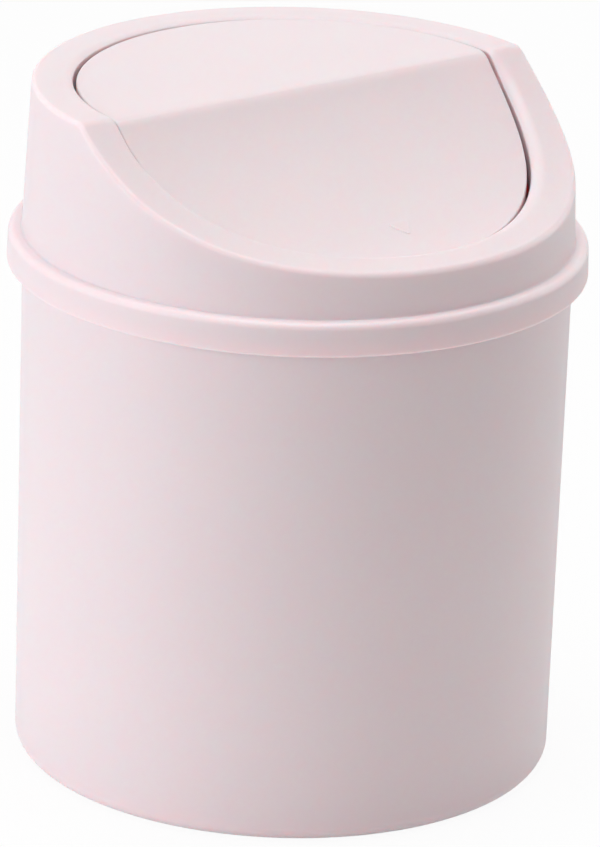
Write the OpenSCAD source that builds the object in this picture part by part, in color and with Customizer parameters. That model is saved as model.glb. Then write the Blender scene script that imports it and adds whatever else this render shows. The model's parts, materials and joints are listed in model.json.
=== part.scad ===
// Countertop trash can with a lift-off hood and a swinging flap.
// The floor is z = 0, the bin's own axis is x = y = 0 and the front, where the hood slopes down,
// faces -Y. The ridge between the level top and the slope runs along X.

/* [Overall] */
// Outside diameter of the skirt band round the foot of the hood
skirt_d = 160; // [150:1:180]
// Height of the hood's level top above the table
total_h = 193; // [186:1:220]
// Thickness of every moulded wall
wall_t = 1.8; // [1.5:0.1:2.2]

/* [Bucket] */
// How far the skirt stands out past the bucket's wall, measured on the radius
skirt_overhang = 4.3; // [4.1:0.1:6]
// How much smaller the bucket's radius is at its foot than under the skirt
bucket_draft = 0.8; // [0:0.1:4]
// Radius of the rounded edge between the bucket's wall and its floor
foot_round = 4.5; // [2.5:0.5:8]
// Depth of the shallow recess under the floor, inside the foot ring
foot_recess = 1; // [0.5:0.1:1.5]

/* [Hood] */
// Height of the whole hood, from the skirt's lower edge to the level top
hood_h = 51.5; // [48:0.5:60]
// Height of the skirt band
skirt_h = 9.3; // [9:0.1:13]
// Width of the ledge between the skirt's outer face and the foot of the hood's wall
ledge_w = 4; // [3.4:0.1:4.5]
// How much the hood's wall leans in from its foot to the level top, measured on the radius
hood_draft = 1.8; // [0.5:0.1:3]
// Radius of the rounded edge round the level top
edge_round = 1.5; // [0.5:0.1:2.5]

/* [Slope] */
// Drop from the level top to the lowest line of the slope's curve, just past the front
slope_drop = 30.5; // [24:0.5:33]
// Radius of the hollow curve of the slope
slope_r = 132; // [110:1:150]
// How far the ridge between the level top and the slope lies in front of the bin's axis
ridge_forward = 0.5; // [0:0.5:2]
// Radius of the rounded ridge on the hood's ring
ridge_round = 5; // [2:0.5:8]
// Radius of the rounded ridge on the flap
flap_ridge_round = 8; // [3:0.5:9]

/* [Opening and flap] */
// Width of the flat ring between the hood's top edge and its round opening
ring_w = 11.2; // [10.4:0.2:18]
// Gap all round between the flap and the opening
flap_gap = 1.5; // [1.4:0.1:2.5]
// How far the flap's surface lies under the hood's surface
flap_recess = 0.6; // [0:0.1:1]
// How many degrees the closed flap leans in at the front, about its pins
flap_lean = 0.6; // [0:0.1:1]
// Height of the flap's down-turned edge
flap_edge_h = 5; // [3.5:0.5:6]
// Side of the plain triangle that marks where to push
mark_side = 7.5; // [6:0.5:14]

/* [Pivot] */
// Diameter of the two pivot pins
pin_d = 4; // [3:0.5:4.5]
// Height of the level top above the pins' axis
pivot_depth = 10; // [9.5:0.5:13]
// How far the pins' axis lies in front of the bin's axis
pivot_forward = 4; // [3:0.5:6]
// Radial clearance of each pin in the hood's ear
pin_clearance = 0.08; // [0.04:0.01:0.1]

/* [Hidden] */
$fn = 120;
part_colour = "#EFE1E4";
pin_colour = "#E9DADD";
far = 200;
arc_steps = 8;

// Skirt and ledge
skirt_r = skirt_d / 2;
skirt_z = total_h - hood_h;
ledge_z = skirt_z + skirt_h;
shoulder_round = 1.6;
hood_foot_r = skirt_r - ledge_w;
hood_top_r = hood_foot_r - hood_draft;

// Bucket
seat_gap = 0.3;
bucket_r = skirt_r - skirt_overhang;
bucket_foot_r = bucket_r - bucket_draft;
bucket_h = ledge_z - wall_t - seat_gap;
rim_gap = 0.5;
rim_r = skirt_r - wall_t - rim_gap;
rim_h = 3.5;
foot_ring_w = 7;
floor_t = wall_t + foot_recess;

// Slope: a cylinder lying along X that touches its lowest line level
slope_low_z = total_h - slope_drop;
slope_axis_z = slope_low_z + slope_r;
slope_axis_y = -ridge_forward - sqrt(slope_drop * (2 * slope_r - slope_drop));

// Opening, flap and pivot
opening_r = hood_top_r - ring_w;
flap_r = opening_r - flap_gap;
collar_t = wall_t;
collar_h = flap_edge_h + 4;
pivot_y = -pivot_forward;
pivot_z = total_h - pivot_depth;
boss_wall = 2.2;
boss_r = pin_d / 2 + boss_wall;
boss_len = 11;
press_clearance = 0.01;
ear_gap = 0.5;
ear_in_x = flap_r + ear_gap;
ear_out_x = opening_r + 5;
pin_in_x = flap_r - boss_len;
pin_out_x = ear_out_x + 0.4;
pin_head_t = 1.2;
pin_head_d = pin_d + 2;
pin_chamfer = 0.5;
rib_t = 1.6;
stop_w = 10;
stop_t = 2;
stop_reach = 3;
stop_gap = 0.3;
mark_front = 46.5;
mark_rise = 0.3;

// Points of an arc about [y, z], from one angle to another
function arc(centre, r, from, to) =
    [for (i = [0 : arc_steps]) centre + r * [cos(from + (to - from) * i / arc_steps),
                                             sin(from + (to - from) * i / arc_steps)]];

// Everything above the slope, the slope taken d below its own surface.
// soft is the radius of the soft ridge, which only the visible faces have.
module above_slope(d, soft) {
    round_y = slope_axis_y + sqrt(slope_drop * (2 * (slope_r + soft) - slope_drop));
    round_z = total_h - soft;
    steep = atan2(slope_axis_z - round_z, slope_axis_y - round_y);
    rotate([90, 0, 90])
    linear_extrude(height = 2 * far, center = true) {
        translate([slope_axis_y, slope_axis_z])
        circle(r = slope_r + d, $fn = 360);
        translate([slope_axis_y - far, slope_low_z - d])
        square([far, slope_r]);
        if (soft > 0)
            polygon(concat(arc([round_y, round_z], soft - d, 90, steep),
                           [[round_y - soft, total_h + 1], [round_y, total_h + 1]]));
    }
}

// A solid of revolution about the bin's axis with the slope cut off it
module sloped(profile, d, soft = 0) {
    difference() {
        rotate_extrude()
        polygon(profile);
        above_slope(d, soft);
    }
}

// A plain disc with its top d under the hood's surface, level and slope alike
module sloped_disc(r, d, soft = 0) {
    sloped([[0, skirt_z], [r, skirt_z], [r, total_h - d], [0, total_h - d]], d, soft);
}

// The pin's axis: x runs outward, on the side given by its sign
module along_pivot(side) {
    translate([0, pivot_y, pivot_z])
    rotate([0, side * 90, 0])
    children();
}

// Round bar on the pivot axis from one distance out to another
module pivot_bar(side, d, from_x, to_x) {
    along_pivot(side)
    translate([0, 0, from_x])
    cylinder(d = d, h = to_x - from_x);
}

module bucket() {
    inner_foot_r = bucket_foot_r - wall_t;
    color(part_colour)
    difference() {
        rotate_extrude()
        polygon(concat(
            [[0, foot_recess], [bucket_foot_r - foot_ring_w - foot_recess, foot_recess],
             [bucket_foot_r - foot_ring_w, 0]],
            arc([bucket_foot_r - foot_round, foot_round], foot_round, -90, 0),
            [[bucket_r, bucket_h - rim_h - 2], [rim_r, bucket_h - rim_h]],
            arc([rim_r - 0.8, bucket_h - 0.8], 0.8, 0, 90),
            [[0, bucket_h]]));
        rotate_extrude()
        polygon(concat(
            [[0, floor_t]],
            arc([inner_foot_r - foot_round, floor_t + foot_round], foot_round, -90, 0),
            [[bucket_r - wall_t, bucket_h + 1], [0, bucket_h + 1]]));
    }
}

// Bracket behind the collar that carries one pin, before its bore is cut
module ear(side) {
    pivot_bar(side, 2 * boss_r, ear_in_x, ear_out_x);
    intersection() {
        translate([side * (opening_r + ear_out_x + 0.9) / 2, pivot_y, pivot_z + pivot_depth / 2])
        cube([ear_out_x - opening_r + 0.1, 2 * boss_r, pivot_depth], center = true);
        sloped_disc(skirt_r, wall_t / 2);
    }
}

module hood() {
    outside = concat(
        [[0, skirt_z], [skirt_r - 0.6, skirt_z], [skirt_r, skirt_z + 0.6]],
        arc([skirt_r - shoulder_round, ledge_z - shoulder_round], shoulder_round, 0, 90),
        [[hood_foot_r, ledge_z]],
        arc([hood_top_r - edge_round, total_h - edge_round], edge_round, 0, 90),
        [[0, total_h]]);
    inside = [
        [0, skirt_z - 1], [skirt_r - wall_t, skirt_z - 1], [skirt_r - wall_t, ledge_z - wall_t],
        [hood_foot_r - wall_t, ledge_z - wall_t], [hood_top_r - wall_t, total_h - wall_t],
        [0, total_h - wall_t]];
    stop_y = opening_r - stop_reach;
    flap_foot_z = total_h - flap_recess - flap_edge_h + (stop_y - pivot_y) * sin(flap_lean);
    stop_z = flap_foot_z - stop_gap - stop_t;
    color(part_colour)
    difference() {
        union() {
            difference() {
                sloped(outside, 0, ridge_round);
                sloped(inside, wall_t);
                cylinder(r = opening_r, h = 2 * total_h);
            }
            difference() {
                sloped_disc(opening_r + collar_t, wall_t / 2);
                sloped_disc(opening_r + far / 2, collar_h);
                cylinder(r = opening_r, h = 2 * total_h);
            }
            translate([-stop_w / 2, stop_y, stop_z])
            cube([stop_w, stop_reach + collar_t / 2, stop_t]);
            ear(-1);
            ear(1);
        }
        for (side = [-1, 1])
            pivot_bar(side, pin_d + 2 * pin_clearance, ear_in_x - 1, ear_out_x + 1);
    }
}

// Boss under the flap for one pin, tied up to the flap's own skin
module flap_boss(side) {
    pivot_bar(side, 2 * boss_r, pin_in_x, flap_r - 0.6);
    intersection() {
        translate([side * (pin_in_x + flap_r - 0.6) / 2, pivot_y, pivot_z + pivot_depth / 2])
        cube([flap_r - 0.6 - pin_in_x, 2 * boss_r, pivot_depth], center = true);
        sloped_disc(flap_r - 0.4, flap_recess + wall_t / 2);
    }
}

// Low triangle on the slope that points at the front, where the flap is pushed
module push_mark() {
    intersection() {
        translate([0, -mark_front, slope_low_z - 1])
        rotate([0, 0, -90])
        cylinder(r = mark_side / sqrt(3), h = slope_drop, $fn = 3);
        difference() {
            sloped_disc(flap_r, flap_recess - mark_rise);
            sloped_disc(flap_r + 1, flap_recess + wall_t / 2);
        }
    }
}

module flap() {
    color(part_colour)
    translate([0, pivot_y, pivot_z])
    rotate([flap_lean, 0, 0])
    translate([0, -pivot_y, -pivot_z])
    difference() {
        union() {
            difference() {
                sloped_disc(flap_r, flap_recess, flap_ridge_round);
                sloped_disc(flap_r - wall_t, flap_recess + wall_t);
                sloped_disc(flap_r + 1, flap_recess + flap_edge_h);
            }
            push_mark();
            flap_boss(-1);
            flap_boss(1);
            intersection() {
                translate([-pin_in_x - 1, pivot_y - rib_t / 2, pivot_z])
                cube([2 * pin_in_x + 2, rib_t, pivot_depth]);
                sloped_disc(flap_r - 0.4, flap_recess + wall_t / 2);
            }
        }
        for (side = [-1, 1])
            pivot_bar(side, pin_d + 2 * press_clearance, pin_in_x - 2, flap_r + 1);
    }
}

// Pin pushed outward through the flap's boss into the hood's ear
module pivot_pin(side) {
    color(pin_colour)
    along_pivot(side)
    rotate_extrude()
    polygon([
        [0, pin_in_x - pin_head_t - 0.1], [pin_head_d / 2, pin_in_x - pin_head_t - 0.1],
        [pin_head_d / 2, pin_in_x - 0.1], [pin_d / 2, pin_in_x - 0.1],
        [pin_d / 2, pin_out_x - pin_chamfer], [pin_d / 2 - pin_chamfer, pin_out_x],
        [0, pin_out_x]]);
}

module pivot_pin_left() {
    pivot_pin(-1);
}

module pivot_pin_right() {
    pivot_pin(1);
}

bucket();
hood();
flap();
pivot_pin_left();
pivot_pin_right();
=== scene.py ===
# Countertop trash can with a lift-off hood and a swinging flap.
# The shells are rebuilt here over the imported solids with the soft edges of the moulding.
import json
import math

import bmesh
import bpy
from mathutils import Matrix, Vector


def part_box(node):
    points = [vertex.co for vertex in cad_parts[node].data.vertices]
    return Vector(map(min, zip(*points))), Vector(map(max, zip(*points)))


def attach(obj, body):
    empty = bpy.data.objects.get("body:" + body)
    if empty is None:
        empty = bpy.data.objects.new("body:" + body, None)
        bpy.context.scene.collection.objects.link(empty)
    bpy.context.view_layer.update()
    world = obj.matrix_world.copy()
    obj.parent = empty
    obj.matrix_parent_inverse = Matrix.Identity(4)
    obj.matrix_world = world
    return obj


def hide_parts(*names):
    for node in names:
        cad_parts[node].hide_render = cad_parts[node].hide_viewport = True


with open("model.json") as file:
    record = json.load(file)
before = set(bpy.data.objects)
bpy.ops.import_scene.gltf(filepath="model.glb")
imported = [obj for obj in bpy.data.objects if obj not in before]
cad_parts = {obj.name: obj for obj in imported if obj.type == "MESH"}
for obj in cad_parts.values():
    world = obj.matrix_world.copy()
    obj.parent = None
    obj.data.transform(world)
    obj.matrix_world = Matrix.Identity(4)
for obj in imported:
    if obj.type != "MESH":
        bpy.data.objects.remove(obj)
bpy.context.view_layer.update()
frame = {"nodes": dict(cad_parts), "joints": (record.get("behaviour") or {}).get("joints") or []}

MM = 0.001

# Main sizes in millimetres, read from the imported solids
SKIRT_Z, TOTAL_H = (corner[2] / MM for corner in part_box("hood"))
BUCKET_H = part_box("bucket")[1][2] / MM
PIVOT = next(j for j in frame["joints"] if j["name"] == "flap_swing")["pos_m"]
PIVOT_Y, PIVOT_Z = PIVOT[1] / MM, PIVOT[2] / MM

# Hood
WALL_T = 1.8
SKIRT_R = 80.0
SKIRT_H = 9.3
LEDGE_Z = SKIRT_Z + SKIRT_H
FOOT_R = SKIRT_R - 4.0
TOP_R = FOOT_R - 1.8
SHOULDER_ROUND = 1.8
SKIRT_DRAFT = 0.3
SKIRT_FOOT_ROUND = 0.9
INNER_ROUND = 0.4
LEVEL_EDGE_ROUND = 1.4
SLOPE_EDGE_ROUND = 1.7
LEDGE_ROUND = 0.5
LIP_ROLL_R = 4.5
LIP_ROLL = math.radians(30)
LIP_ROLL_W = 2.45
SLOPE_LIP_ROLL = math.radians(53)
SLOPE_LIP_ROLL_W = 4.0
LIP_CORNER_R = 0.4
COLLAR_T = WALL_T
COLLAR_H = 9.0

# Slope and ridge
SLOPE_DROP = 30.5
SLOPE_R = 132.0
RIDGE_FORWARD = 0.5
RIDGE_ROUND = 5.0
FLAP_RIDGE_ROUND = 8.0
SLOPE_LOW_Z = TOTAL_H - SLOPE_DROP
SLOPE_AXIS_Z = SLOPE_LOW_Z + SLOPE_R
SLOPE_AXIS_Y = -RIDGE_FORWARD - math.sqrt(SLOPE_DROP * (2 * SLOPE_R - SLOPE_DROP))

# Opening and flap
OPENING_R = TOP_R - 11.2
FLAP_GAP = 1.05
FLAP_R = OPENING_R - FLAP_GAP
FLAP_BACK = 0.12
FLAP_RECESS = 0.82
FLAP_TILT = 0.0097
FLAP_LEAN = 0.0042
FLAP_SAG = 0.0097
SLOPE_RECESS = 1.6
SLOPE_RECESS_REACH = 9.0
FLAP_EDGE_H = 5.0
FLAP_EDGE_ROUND = 0.5
BOSS_R = 4.2
BOSS_BORE_R = 2.01
EAR_BORE_R = 2.08
EAR_IN_X = OPENING_R + 0.1
EAR_OUT_X = OPENING_R + 5.0
EAR_SPLIT_X = OPENING_R + 1.6
BUSH_OUT_X = OPENING_R + 1.9
EAR_SINK = WALL_T - 0.2
BOSS_IN_X = FLAP_R - 11.0
BOSS_OUT_X = FLAP_R - 0.9
RIB_T = 1.6
STOP_W = 10.0
STOP_T = 2.0
STOP_Y = OPENING_R - 3.0
STOP_GAP = 0.3
STOP_Z = (TOTAL_H - FLAP_RECESS - FLAP_EDGE_H + (STOP_Y - PIVOT_Y) * FLAP_LEAN
          - STOP_GAP - STOP_T)
MARK_SIDE = 7.5
MARK_FRONT = 46.5
MARK_RISE = 0.3

# Bucket
BUCKET_R = SKIRT_R - 4.3
BUCKET_FOOT_R = BUCKET_R - 0.8
FOOT_ROUND = 4.5
FOOT_RECESS = 1.0
FOOT_RING_W = 7.0
FLOOR_T = WALL_T + FOOT_RECESS
RIM_R = SKIRT_R - WALL_T - 0.5
RIM_H = 3.5
RIM_ROUND = 0.8
RIM_FLARE_H = 2.0
RIM_FLARE_ROUND = 1.0
RIM_FOOT_ROUND = 0.4
FOOT_RING_ROUND = 0.6
FOOT_RING_LEAN = 2.0

# Corners sharper than this, in degrees, stay sharp in the shading
CREASE = 32


# Outlines

def spread(a, b, n):
    """n points from a towards b, closer together near both ends; b itself is left out."""
    a, b = Vector(a), Vector(b)
    return [a.lerp(b, 0.5 - 0.5 * math.cos(math.pi * i / n)) for i in range(n)]


def fillet(corner, before, after, radius, n):
    """Points of a round between two straight runs that meet at corner.

    before and after are the directions from the corner back along each run.
    """
    a, b = Vector(before).normalized(), Vector(after).normalized()
    half = a.angle(b) / 2
    centre = Vector(corner) + (a + b).normalized() * radius / math.sin(half)
    start = Vector(corner) + a * radius / math.tan(half) - centre
    end = Vector(corner) + b * radius / math.tan(half) - centre
    turn = start.angle_signed(end)
    return [centre + Matrix.Rotation(-turn * i / n, 2) @ start for i in range(n + 1)]


def run(a, b, n):
    """The inner points of a straight run, without its two ends."""
    return spread(a, b, n)[1:]


def joined(*parts):
    """One outline from rounds and corner points, with each straight run between them filled in."""
    points = []
    for part in parts:
        part = part if isinstance(part, list) else [Vector(part)]
        if points:
            points += run(points[-1], part[0], 6)
        points += part
    return points


# The hood's surface

def level_z(y, sink, ridge):
    """Height of the hood's surface at y, sunk by a wall's thickness along its own normal.

    ridge is the radius that softens the ridge between the level top and the slope.
    """
    soft = ridge - sink
    ridge_y = SLOPE_AXIS_Y + math.sqrt(SLOPE_DROP * (2 * (SLOPE_R + ridge) - SLOPE_DROP))
    ridge_z = TOTAL_H - ridge
    lean = Vector((SLOPE_AXIS_Y - ridge_y, SLOPE_AXIS_Z - ridge_z)).normalized()
    if y <= SLOPE_AXIS_Y:
        return SLOPE_LOW_Z - sink
    if soft > 0.1 and ridge_y + soft * lean.x < y < ridge_y:
        return ridge_z + math.sqrt(soft ** 2 - (y - ridge_y) ** 2)
    slope = SLOPE_AXIS_Z - math.sqrt(max(0, (SLOPE_R + sink) ** 2 - (y - SLOPE_AXIS_Y) ** 2))
    return min(slope, TOTAL_H - sink)


def surface(r, angle, sink=0.0, ridge=RIDGE_ROUND):
    """Point (r, z) of the hood's surface on the half-plane at that angle."""
    return Vector((r, level_z(r * math.sin(angle), sink, ridge)))


def along(r, angle, step=0.25):
    """Direction along the hood's surface, outward, on the half-plane at that angle."""
    return (surface(r + step, angle) - surface(r - step, angle)).normalized()


def flap_sink(x, y):
    """How far the flap's skin lies under the hood's surface there.

    It hangs a little askew on its pins, lower on the left, and its slope lies deeper than its
    level part.
    """
    front = max(0.0, -y)
    return (FLAP_RECESS - FLAP_TILT * x - FLAP_LEAN * (y - PIVOT_Y) + FLAP_SAG * front
            + SLOPE_RECESS * (1 - math.exp(-front / SLOPE_RECESS_REACH)))


def front_share(angle):
    """0 where the hood is level and 1 where it slopes, easing over at the ridge."""
    lean = min(1.0, max(0.0, -math.sin(angle) * 6.0))
    return lean * lean * (3 - 2 * lean)


def azimuths():
    """Angles round the axis, closer together near the two ends of the ridge."""
    quarter = [0.0]
    while quarter[-1] < 90.0:
        quarter.append(min(90.0, quarter[-1] + min(1.5, max(0.12, 0.06 * quarter[-1]))))
    half = quarter + [180.0 - a for a in reversed(quarter[:-1])]
    full = half + [180.0 + a for a in half[1:-1]]
    return [math.radians(a) for a in full]


def even_azimuths(n=256):
    return [2 * math.pi * i / n for i in range(n)]


# Meshes

def finished(name, bm):
    """Object from a closed mesh, smooth except at real corners."""
    bmesh.ops.recalc_face_normals(bm, faces=bm.faces)
    mesh = bpy.data.meshes.new(name)
    bm.to_mesh(mesh)
    bm.free()
    mesh.shade_smooth()
    mesh.set_sharp_from_angle(angle=math.radians(CREASE))
    made = bpy.data.objects.new(name, mesh)
    bpy.context.scene.collection.objects.link(made)
    return made


def turned(name, angles, outline, capped=False):
    """Closed mesh from an outline that may differ at each angle.

    A capped outline starts and ends on the axis; another one is a closed loop.
    """
    bm = bmesh.new()
    rings = []
    first = outline(angles[0])
    poles = [bm.verts.new((0, 0, p.y * MM)) for p in (first[0], first[-1])] if capped else []
    for angle in angles:
        points = outline(angle)[1:-1] if capped else outline(angle)
        rings.append([bm.verts.new((p.x * math.cos(angle) * MM, p.x * math.sin(angle) * MM, p.y * MM))
                      for p in points])
    for here, there in zip(rings, rings[1:] + rings[:1]):
        count = len(here)
        for i in range(count - 1 if capped else count):
            k = (i + 1) % count
            bm.faces.new((here[i], there[i], there[k], here[k]))
        if capped:
            bm.faces.new((poles[0], there[0], here[0]))
            bm.faces.new((poles[1], here[-1], there[-1]))
    return finished(name, bm)


def bucket_outline(angle):
    foot_in = BUCKET_FOOT_R - FOOT_RING_W
    inner_foot = BUCKET_FOOT_R - WALL_T
    wall = Vector((BUCKET_R - BUCKET_FOOT_R, BUCKET_H))
    flare = Vector((RIM_R - BUCKET_R, RIM_FLARE_H))
    up, out = Vector((0, 1)), Vector((1, 0))
    return joined(
        (0, FOOT_RECESS),
        (foot_in - FOOT_RING_LEAN, FOOT_RECESS),
        fillet((foot_in, 0.0), (-FOOT_RING_LEAN, FOOT_RECESS), out, FOOT_RING_ROUND, 4),
        fillet((BUCKET_FOOT_R, 0.0), -out, wall, FOOT_ROUND, 14),
        fillet((BUCKET_R, BUCKET_H - RIM_H - RIM_FLARE_H), -wall, flare, RIM_FLARE_ROUND, 4),
        fillet((RIM_R, BUCKET_H - RIM_H), -flare, up, RIM_FOOT_ROUND, 3),
        fillet((RIM_R, BUCKET_H), -up, -out, RIM_ROUND, 6),
        fillet((BUCKET_R - WALL_T, BUCKET_H), out, -wall, INNER_ROUND, 4),
        fillet((inner_foot, FLOOR_T), wall, -out, FOOT_ROUND, 10),
        (0, FLOOR_T),
    )


def lip_roll(angle):
    """Roll of the surface down towards the opening, from its inner end outward, fuller in front."""
    share = front_share(angle)
    full = LIP_ROLL + (SLOPE_LIP_ROLL - LIP_ROLL) * share
    start = surface(OPENING_R + LIP_ROLL_W + (SLOPE_LIP_ROLL_W - LIP_ROLL_W) * share, angle)
    out = along(start.x, angle)
    up = Vector((-out.y, out.x))
    turns = [full * (1 - i / 8) for i in range(9)]
    return [start - LIP_ROLL_R * (up * (1 - math.cos(t)) + out * math.sin(t)) for t in turns]


def hood_outline(angle):
    """Closed loop of the hood's section at that angle: collar, top, wall, skirt and inside."""
    up, out = Vector((0, 1)), Vector((1, 0))
    lean = Vector((TOP_R - FOOT_R, TOTAL_H - LEDGE_Z))
    edge_r = TOP_R
    for _ in range(8):
        edge_r = FOOT_R + lean.x * (surface(edge_r, angle).y - LEDGE_Z) / lean.y
    inner_r = edge_r - WALL_T
    edge_round = LEVEL_EDGE_ROUND + (SLOPE_EDGE_ROUND - LEVEL_EDGE_ROUND) * front_share(angle)
    roll = lip_roll(angle)
    ramp = (roll[0] - roll[1]).normalized()
    corner = roll[0] + ramp * (roll[0].x - OPENING_R) / -ramp.x
    lip = fillet(corner, -up, -ramp, LIP_CORNER_R, 4) + roll
    edge = fillet(surface(edge_r, angle), -along(edge_r - edge_round, angle), -lean, edge_round, 9)
    top_run = [surface(p.x, angle) for p in spread(lip[-1], edge[0], 16)[1:]]
    collar_r = OPENING_R + COLLAR_T
    underside = [surface(p.x, angle, WALL_T)
                 for p in spread((inner_r, 0), (collar_r, 0), 10)]
    skirt_top_r = SKIRT_R - SKIRT_DRAFT
    skirt = Vector((-SKIRT_DRAFT, SKIRT_H))
    return (
        [surface(OPENING_R, angle, COLLAR_H)]
        + run(surface(OPENING_R, angle, COLLAR_H), lip[0], 6)
        + lip
        + top_run
        + joined(
            edge,
            fillet((FOOT_R, LEDGE_Z), lean, out, LEDGE_ROUND, 4),
            fillet((skirt_top_r, LEDGE_Z), -out, -skirt, SHOULDER_ROUND, 8),
            fillet((SKIRT_R, SKIRT_Z), skirt, -out, SKIRT_FOOT_ROUND, 6),
            fillet((SKIRT_R - WALL_T, SKIRT_Z), out, up, INNER_ROUND, 4),
            (SKIRT_R - WALL_T, LEDGE_Z - WALL_T),
            (FOOT_R - WALL_T, LEDGE_Z - WALL_T),
            [surface(inner_r, angle, WALL_T)],
        )
        + underside[1:]
        + joined(
            [surface(collar_r, angle, WALL_T)],
            [surface(collar_r, angle, COLLAR_H)],
        )
    )


def flap_outline(angle):
    """Section of the flap from its middle out over the edge and back underneath."""
    def at(r, depth=0.0):
        skin = flap_sink(r * math.cos(angle), r * math.sin(angle))
        return surface(r, angle, skin + depth, FLAP_RIDGE_ROUND)

    up = Vector((0, 1))
    edge_r = FLAP_R + FLAP_BACK * math.sin(angle)
    rim_r = edge_r - WALL_T
    edge = fillet(at(edge_r), at(edge_r - 0.8) - at(edge_r - 0.3), -up, FLAP_EDGE_ROUND, 6)
    rings = [0.4, 1.0, 1.8, 3.0, 4.5, 6.5, 9.0, 12.0, 15.5, 19.5, 24.0, 28.5, 33.0, 37.5, 42.0, 46.5,
             50.5, 54.0, 57.0, 59.0]
    return (
        [at(0)]
        + [at(r) for r in rings]
        + joined(edge, [at(edge_r, FLAP_EDGE_H)], [at(rim_r, FLAP_EDGE_H)], [at(rim_r, WALL_T)])
        + [at(r, WALL_T) for r in reversed(rings[::2])]
        + [at(0, WALL_T)]
    )


# Brackets, rib, stop and mark

def prism(name, outline, x0, x1, bore=()):
    """Closed bar along X with an outline in y and z, and a bore through it with as many points."""
    bm = bmesh.new()
    loops = [[[bm.verts.new((x * MM, p.x * MM, p.y * MM)) for p in loop] for x in (x0, x1)]
             for loop in ((outline, bore) if bore else (outline,))]
    for near, far in loops:
        for i in range(len(near)):
            bm.faces.new((near[i - 1], near[i], far[i], far[i - 1]))
    if bore:
        (outer, inner) = loops
        for end in (0, 1):
            for i in range(len(outline)):
                bm.faces.new((outer[end][i - 1], outer[end][i], inner[end][i], inner[end][i - 1]))
    else:
        for end in loops[0]:
            bm.faces.new(end)
    return finished(name, bm)


def lug(name, bore_r, x0, x1, sink=None, ridge=RIDGE_ROUND):
    """Bored bracket round the pivot axis: a round bush, or with sink one that reaches the skin."""
    count = 48
    middle = Vector((PIVOT_Y, PIVOT_Z))
    foot, bore = [], []
    for i in range(count):
        turn = math.pi * 2 * i / count
        spoke = Vector((math.cos(turn), math.sin(turn)))
        bore.append(middle + spoke * bore_r)
        if sink is None or spoke.y < 0.01:
            foot.append(middle + spoke * BOSS_R)
        else:
            y = PIVOT_Y + BOSS_R * spoke.x
            foot.append(Vector((y, level_z(y, sink, ridge))))
    return prism(name, foot, x0, x1, bore)


def rounded(corners, radius, n=5):
    """Closed outline with every corner rounded."""
    points = []
    for before, corner, after in zip(corners[-1:] + corners[:-1], corners, corners[1:] + corners[:1]):
        here = Vector(corner)
        points += fillet(here, Vector(before) - here, Vector(after) - here, radius, n)
    return points


def push_mark():
    """Low plain triangle with soft edges on the flap's slope, pointing at the front."""
    reach = MARK_SIDE / math.sqrt(3)
    corners = [(reach * math.cos(t), reach * math.sin(t))
               for t in (math.radians(-90), math.radians(30), math.radians(150))]
    outline = rounded(corners, 0.8)
    bm = bmesh.new()
    loops = []
    for share, rise in ((1, -0.9), (1, 0.05), (0.99, 0.15), (0.97, 0.23), (0.94, 0.28), (0.9, 0.3),
                        (0.7, 0.3), (0.5, 0.3), (0.3, 0.3), (0.12, 0.3)):
        loop = []
        for p in outline:
            x, y = p.x * share, p.y * share - MARK_FRONT
            z = level_z(y, flap_sink(x, y), FLAP_RIDGE_ROUND) + rise / 0.3 * MARK_RISE
            loop.append(bm.verts.new((x * MM, y * MM, z * MM)))
        loops.append(loop)
    for here, there in zip(loops, loops[1:]):
        for i in range(len(here)):
            bm.faces.new((here[i - 1], here[i], there[i], there[i - 1]))
    bm.faces.new(loops[0])
    bm.faces.new(loops[-1])
    return finished("push_mark", bm)


def fuse(piece, *additions):
    """Joins the additions to the piece as one closed solid."""
    for extra in additions:
        join = piece.modifiers.new("fuse", "BOOLEAN")
        join.operation = "UNION"
        join.solver = "EXACT"
        join.object = extra
    depsgraph = bpy.context.evaluated_depsgraph_get()
    whole = bpy.data.meshes.new_from_object(piece.evaluated_get(depsgraph))
    piece.modifiers.clear()
    piece.data = whole
    for extra in additions:
        bpy.data.objects.remove(extra)
    whole.shade_smooth()
    whole.set_sharp_from_angle(angle=math.radians(CREASE))
    return piece


# Materials

def linear(hex_colour):
    """sRGB hex colour as linear red, green, blue and alpha."""
    parts = [int(hex_colour[i:i + 2], 16) / 255 for i in (1, 3, 5)]
    return [c / 12.92 if c <= 0.04045 else ((c + 0.055) / 1.055) ** 2.4 for c in parts] + [1.0]


def add(tree, kind, settings=None, **links):
    """Adds a node, sets its properties and inputs, and links its inputs by name."""
    node = tree.nodes.new(kind)
    for key, value in (settings or {}).items():
        if key in node.inputs:
            node.inputs[key].default_value = value
        else:
            setattr(node, key, value)
    for key, source in links.items():
        tree.links.new(source, node.inputs[key.replace("_", " ")])
    return node


def new_finish(name):
    """A new material, its node tree and its surface shader."""
    material = bpy.data.materials.new(name)
    material.use_nodes = True
    return material, material.node_tree, material.node_tree.nodes["Principled BSDF"]


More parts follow.
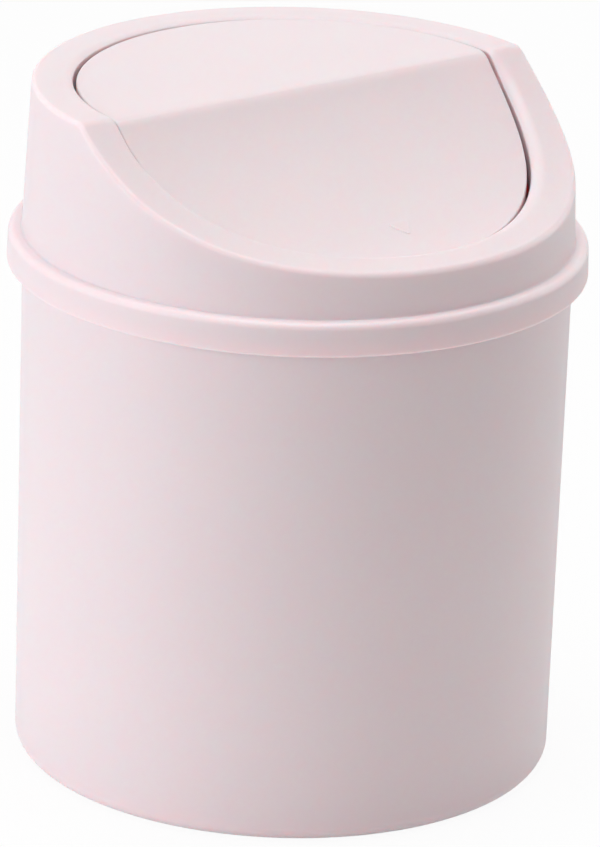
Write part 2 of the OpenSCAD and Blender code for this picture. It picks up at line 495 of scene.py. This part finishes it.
def moulded_polypropylene():
    """Pale pink injection-moulded polypropylene.

    To the eye it is satin and a little milky: light sinks in by two millimetres or so, which
    softens the shadows and warms the gap round the flap. The mould leaves a fine matt grain and
    broad, faint flow clouds in the gloss.
    """
    material, tree, shader = new_finish("moulded_polypropylene")
    shader.inputs["IOR"].default_value = 1.49
    shader.inputs["Subsurface Weight"].default_value = 1.0
    shader.inputs["Subsurface Radius"].default_value = (1.0, 0.42, 0.36)
    shader.inputs["Subsurface Scale"].default_value = 2.4 * MM
    place = add(tree, "ShaderNodeTexCoord").outputs["Object"]
    # Pigment clouds about 40 mm across
    clouds = add(tree, "ShaderNodeTexNoise", {"Scale": 1 / (40 * MM), "Detail": 2.0}, Vector=place)
    tint = add(tree, "ShaderNodeMix", {"data_type": "RGBA"}, Factor=clouds.outputs["Fac"])
    tint.inputs[6].default_value = linear("#F5E0E3")
    tint.inputs[7].default_value = linear("#F7E3E6")
    tree.links.new(tint.outputs[2], shader.inputs["Base Color"])
    # Flow marks in the gloss, about 12 mm across
    flow = add(tree, "ShaderNodeTexNoise", {"Scale": 1 / (12 * MM), "Detail": 3.0}, Vector=place)
    gloss = add(tree, "ShaderNodeMapRange", {"To Min": 0.42, "To Max": 0.52},
                Value=flow.outputs["Fac"])
    tree.links.new(gloss.outputs["Result"], shader.inputs["Roughness"])
    # Grain of the mould's surface, drawn 0.5 mm wide where the real one is about 0.1 mm
    grain = add(tree, "ShaderNodeTexNoise", {"Scale": 1 / (0.5 * MM), "Detail": 2.0}, Vector=place)
    bump = add(tree, "ShaderNodeBump", {"Strength": 0.05, "Distance": 0.02 * MM},
               Height=grain.outputs["Fac"])
    tree.links.new(bump.outputs["Normal"], shader.inputs["Normal"])
    return material


def moulded_acetal():
    """Moulded acetal of the pivot pins: denser and glossier than the shells, with small scuffs."""
    material, tree, shader = new_finish("moulded_acetal")
    shader.inputs["Base Color"].default_value = linear("#E9DADD")
    shader.inputs["IOR"].default_value = 1.48
    place = add(tree, "ShaderNodeTexCoord").outputs["Object"]
    # Polished steel of the mould, with scuffs about 1 mm wide
    scuffs = add(tree, "ShaderNodeTexNoise", {"Scale": 1 / (1.0 * MM), "Detail": 2.0}, Vector=place)
    gloss = add(tree, "ShaderNodeMapRange", {"To Min": 0.24, "To Max": 0.36},
                Value=scuffs.outputs["Fac"])
    tree.links.new(gloss.outputs["Result"], shader.inputs["Roughness"])
    return material


# Camera and light, with angles in degrees

CAMERA_AZIMUTH = -36.5
CAMERA_ELEVATION = 19.76
CAMERA_DISTANCE = 1820.0
CAMERA_ROLL = math.radians(2.084)
AIM_RIGHT = 2.3
AIM_Z = 94.25
LENS = 279.0
MIDDLE = Vector((0, 0, 100))
FLOOR_REACH = 3.0


def toward(azimuth, elevation):
    """Direction from the bin, in degrees round from the photograph's camera and above the floor."""
    azimuth = math.radians(CAMERA_AZIMUTH + azimuth)
    elevation = math.radians(elevation)
    return Vector((math.sin(azimuth) * math.cos(elevation), -math.cos(azimuth) * math.cos(elevation),
                   math.sin(elevation)))


def camera():
    """Long lens from the front left, turned a little about its own line of sight."""
    place = MIDDLE + toward(0, CAMERA_ELEVATION) * CAMERA_DISTANCE
    aim = Vector((0, 0, AIM_Z)) + toward(90, 0) * AIM_RIGHT
    line = (place - aim).normalized()
    side = Vector((0, 0, 1)).cross(line).normalized()
    turn = Matrix((side, line.cross(side), line)).transposed()
    turn = turn @ Matrix.Rotation(CAMERA_ROLL, 3, "Z")
    lens = bpy.data.cameras.new("camera")
    lens.lens = LENS
    lens.clip_end = 10
    made = bpy.data.objects.new("camera", lens)
    made.matrix_world = Matrix.Translation(place * MM) @ turn.to_4x4()
    bpy.context.scene.collection.objects.link(made)
    bpy.context.scene.camera = made


def softbox(name, azimuth, elevation, distance, size, level, colour=(1, 1, 1)):
    """Square lamp that faces the bin from that direction.

    level is how bright it alone makes a white surface that faces it squarely.
    """
    line = toward(azimuth, elevation)
    lamp = bpy.data.lights.new(name, "AREA")
    lamp.size = size * MM
    lamp.color = colour
    share = size ** 2 / (math.pi * distance ** 2 + size ** 2)
    lamp.energy = level / share * math.pi * (size * MM) ** 2
    made = bpy.data.objects.new(name, lamp)
    made.matrix_world = (Matrix.Translation((MIDDLE + line * distance) * MM)
                         @ line.to_track_quat("Z", "Y").to_matrix().to_4x4())
    bpy.context.scene.collection.objects.link(made)


def seen_white(tree, plain, white):
    """1 for rays that show the surroundings, blended from plain light to a white of strength 1."""
    path = add(tree, "ShaderNodeLightPath").outputs
    sight = add(tree, "ShaderNodeMath", {"operation": "MAXIMUM"})
    tree.links.new(path["Is Camera Ray"], sight.inputs[0])
    tree.links.new(path["Is Glossy Ray"], sight.inputs[1])
    clear = add(tree, "ShaderNodeMath", {"operation": "MAXIMUM"})
    tree.links.new(sight.outputs[0], clear.inputs[0])
    tree.links.new(path["Is Transmission Ray"], clear.inputs[1])
    return add(tree, "ShaderNodeMapRange", {"To Min": plain, "To Max": white},
               Value=clear.outputs[0]).outputs["Result"]


def studio():
    """White paper floor and white surroundings, with soft light from above and from the left."""
    world = bpy.data.worlds.new("surroundings")
    world.use_nodes = True
    tree = world.node_tree
    background = tree.nodes["Background"]
    background.inputs["Color"].default_value = (1, 1, 1, 1)
    # Plain light from above and from the front left, where a white room would be brightest
    way = add(tree, "ShaderNodeTexCoord").outputs["Generated"]
    light = add(tree, "ShaderNodeMath", {"operation": "ADD"})
    for i, (azimuth, elevation, level) in enumerate(((0, 90, 0.62), (-45, 0, 0.19))):
        facing = add(tree, "ShaderNodeVectorMath", {"operation": "DOT_PRODUCT"}, Vector=way)
        facing.inputs[1].default_value = toward(azimuth, elevation) * level
        ahead = add(tree, "ShaderNodeMath", {"operation": "MAXIMUM"}, Value=facing.outputs["Value"])
        ahead.inputs[1].default_value = 0.0
        tree.links.new(ahead.outputs[0], light.inputs[i])
    strength = seen_white(tree, 0.0, 1.0)
    tree.links.new(light.outputs[0], strength.node.inputs["To Min"])
    tree.links.new(strength, background.inputs["Strength"])
    bpy.context.scene.world = world

    mesh = bpy.data.meshes.new("floor")
    mesh.from_pydata([(x * FLOOR_REACH, y * FLOOR_REACH, 0)
                      for x, y in ((-1, -1), (1, -1), (1, 1), (-1, 1))], [], [(0, 1, 2, 3)])
    floor = bpy.data.objects.new("floor", mesh)
    bpy.context.scene.collection.objects.link(floor)
    paper, tree, sheet = new_finish("white_paper")
    sheet.inputs["Base Color"].default_value = linear("#F4F4F4")
    sheet.inputs["Roughness"].default_value = 0.9
    glow = add(tree, "ShaderNodeEmission", {"Color": (1, 1, 1, 1), "Strength": 1.0})
    blend = add(tree, "ShaderNodeMixShader")
    tree.links.new(seen_white(tree, 0.0, 0.93), blend.inputs[0])
    tree.links.new(sheet.outputs[0], blend.inputs[1])
    tree.links.new(glow.outputs[0], blend.inputs[2])
    tree.links.new(blend.outputs[0], tree.nodes["Material Output"].inputs["Surface"])
    mesh.materials.append(paper)

    daylight = (0.97, 1.0, 1.04)
    softbox("overhead", 0, 90, 1600, 600, 0.44)
    softbox("front_left", -45, 10, 1500, 1000, 0.127, daylight)
    softbox("left_side", -75, 6, 1500, 1000, 0.359, daylight)
    softbox("right_back", 120, 6, 1500, 1000, 0.207)


def dress(obj, material, body, slot_name, *nodes):
    """Gives a piece its finish, hangs it on its body and hides the CAD nodes that it stands for."""
    obj.data.materials.clear()
    obj.data.materials.append(material)
    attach(obj, body)
    if nodes:
        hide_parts(*nodes)


bpy.context.scene.view_settings.view_transform = "Standard"
shell_finish = moulded_polypropylene()
pin_finish = moulded_acetal()

bucket = turned("bucket_shell", even_azimuths(), bucket_outline, capped=True)

stop_block = [(STOP_Y, STOP_Z), (OPENING_R + 0.9, STOP_Z), (OPENING_R + 0.9, STOP_Z + STOP_T),
              (STOP_Y, STOP_Z + STOP_T)]
hood = fuse(turned("hood_shell", azimuths(), hood_outline),
            prism("stop", rounded(stop_block, 0.4), -STOP_W / 2, STOP_W / 2),
            lug("ear_left", EAR_BORE_R, -EAR_OUT_X, -EAR_SPLIT_X, EAR_SINK),
            lug("bush_left", EAR_BORE_R, -BUSH_OUT_X, -EAR_IN_X),
            lug("ear_right", EAR_BORE_R, EAR_SPLIT_X, EAR_OUT_X, EAR_SINK),
            lug("bush_right", EAR_BORE_R, EAR_IN_X, BUSH_OUT_X))

boss_x = (BOSS_IN_X + BOSS_OUT_X) / 2
boss_top = [flap_sink(x, PIVOT_Y) + WALL_T / 2 for x in (-boss_x, boss_x)]
rib_top = (flap_sink(-BOSS_IN_X, PIVOT_Y) + flap_sink(BOSS_IN_X, PIVOT_Y) + WALL_T) / 2
rib_y = [PIVOT_Y + RIB_T * (i / 4 - 0.5) for i in range(5)]
rib = [(rib_y[0], PIVOT_Z), (rib_y[-1], PIVOT_Z)]
rib += [(y, level_z(y, rib_top, FLAP_RIDGE_ROUND)) for y in rib_y[::-1]]
flap = fuse(turned("flap_shell", azimuths(), flap_outline, capped=True),
            lug("boss_left", BOSS_BORE_R, -BOSS_OUT_X, -BOSS_IN_X, boss_top[0], FLAP_RIDGE_ROUND),
            lug("boss_right", BOSS_BORE_R, BOSS_IN_X, BOSS_OUT_X, boss_top[1], FLAP_RIDGE_ROUND),
            prism("rib", [Vector(p) for p in rib], -BOSS_IN_X - 1, BOSS_IN_X + 1),
            push_mark())

dress(bucket, shell_finish, "bucket", "moulded_shell", "bucket")
dress(hood, shell_finish, "hood", "moulded_shell", "hood")
dress(flap, shell_finish, "flap", "moulded_shell", "flap")
for pin in ("pivot_pin_left", "pivot_pin_right"):
    for cover in frame["nodes"][pin].material_slots:
        cover.material = pin_finish

camera()
studio()
